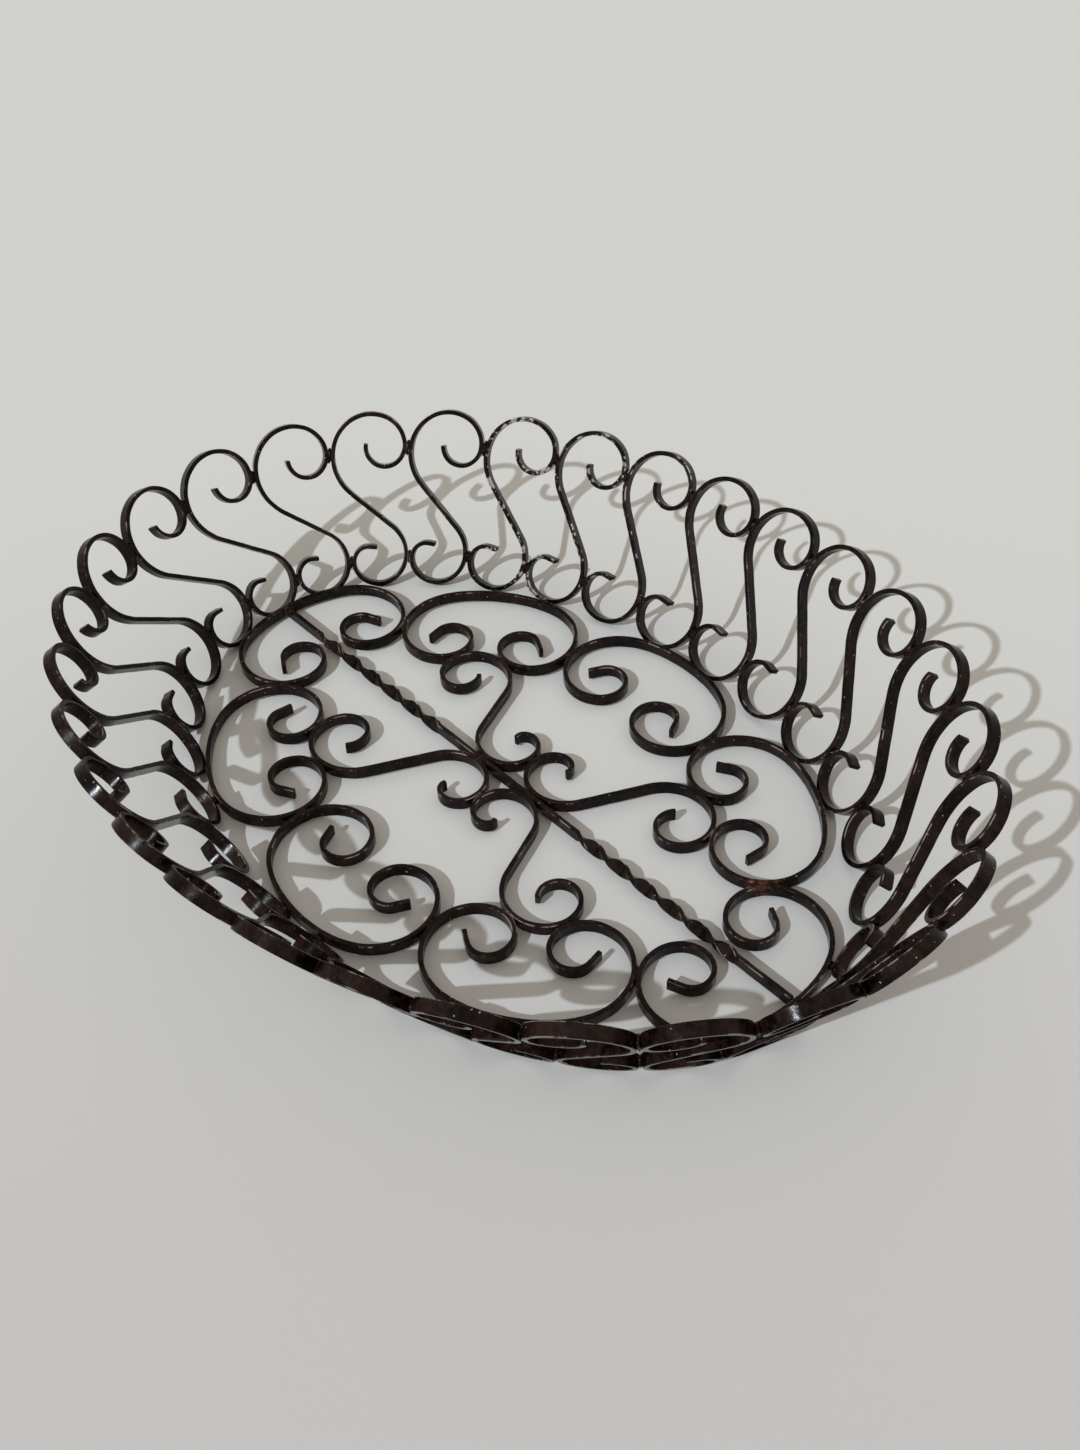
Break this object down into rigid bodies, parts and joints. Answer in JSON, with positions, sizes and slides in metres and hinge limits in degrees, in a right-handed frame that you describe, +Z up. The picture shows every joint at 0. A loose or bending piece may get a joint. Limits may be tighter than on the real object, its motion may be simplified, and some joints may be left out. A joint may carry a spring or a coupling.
{
  "type": "wrought iron fruit basket",
  "caption": "Open oval fruit basket welded from flat iron strip: a leaning wall of S scrolls, a floor of C scrolls, inner S scrolls and a strip twisted along the middle.",
  "frame": {"origin": "middle of the basket at the level of the table it stands on", "axes": "+Z up, +X along the basket's long axis and its twisted strip, +Y across it"},
  "size_m": [0.396, 0.3054, 0.0753],
  "materials": {
    "iron": "dark brown satin paint over iron, with rust at the welds"
  },
  "bodies": {
    "root": {"centre_scroll_1": "iron", "centre_scroll_2": "iron", "centre_scroll_3": "iron", "centre_scroll_4": "iron", "corner_floor_scroll_1": "iron", "corner_floor_scroll_2": "iron", "corner_floor_scroll_3": "iron", "corner_floor_scroll_4": "iron", "end_floor_scroll_1": "iron", "end_floor_scroll_2": "iron", "side_floor_scroll_1": "iron", "side_floor_scroll_2": "iron", "twisted_bar": "iron", "wall_scroll_01": "iron", "wall_scroll_02": "iron", "wall_scroll_03": "iron", "wall_scroll_04": "iron", "wall_scroll_05": "iron", "wall_scroll_06": "iron", "wall_scroll_07": "iron", "wall_scroll_08": "iron", "wall_scroll_09": "iron", "wall_scroll_10": "iron", "wall_scroll_11": "iron", "wall_scroll_12": "iron", "wall_scroll_13": "iron", "wall_scroll_14": "iron", "wall_scroll_15": "iron", "wall_scroll_16": "iron", "wall_scroll_17": "iron", "wall_scroll_18": "iron", "wall_scroll_19": "iron", "wall_scroll_20": "iron", "wall_scroll_21": "iron", "wall_scroll_22": "iron", "wall_scroll_23": "iron", "wall_scroll_24": "iron", "wall_scroll_25": "iron", "wall_scroll_26": "iron", "wall_scroll_27": "iron", "wall_scroll_28": "iron", "wall_scroll_29": "iron", "wall_scroll_30": "iron"}
  },
  "joints": []
}
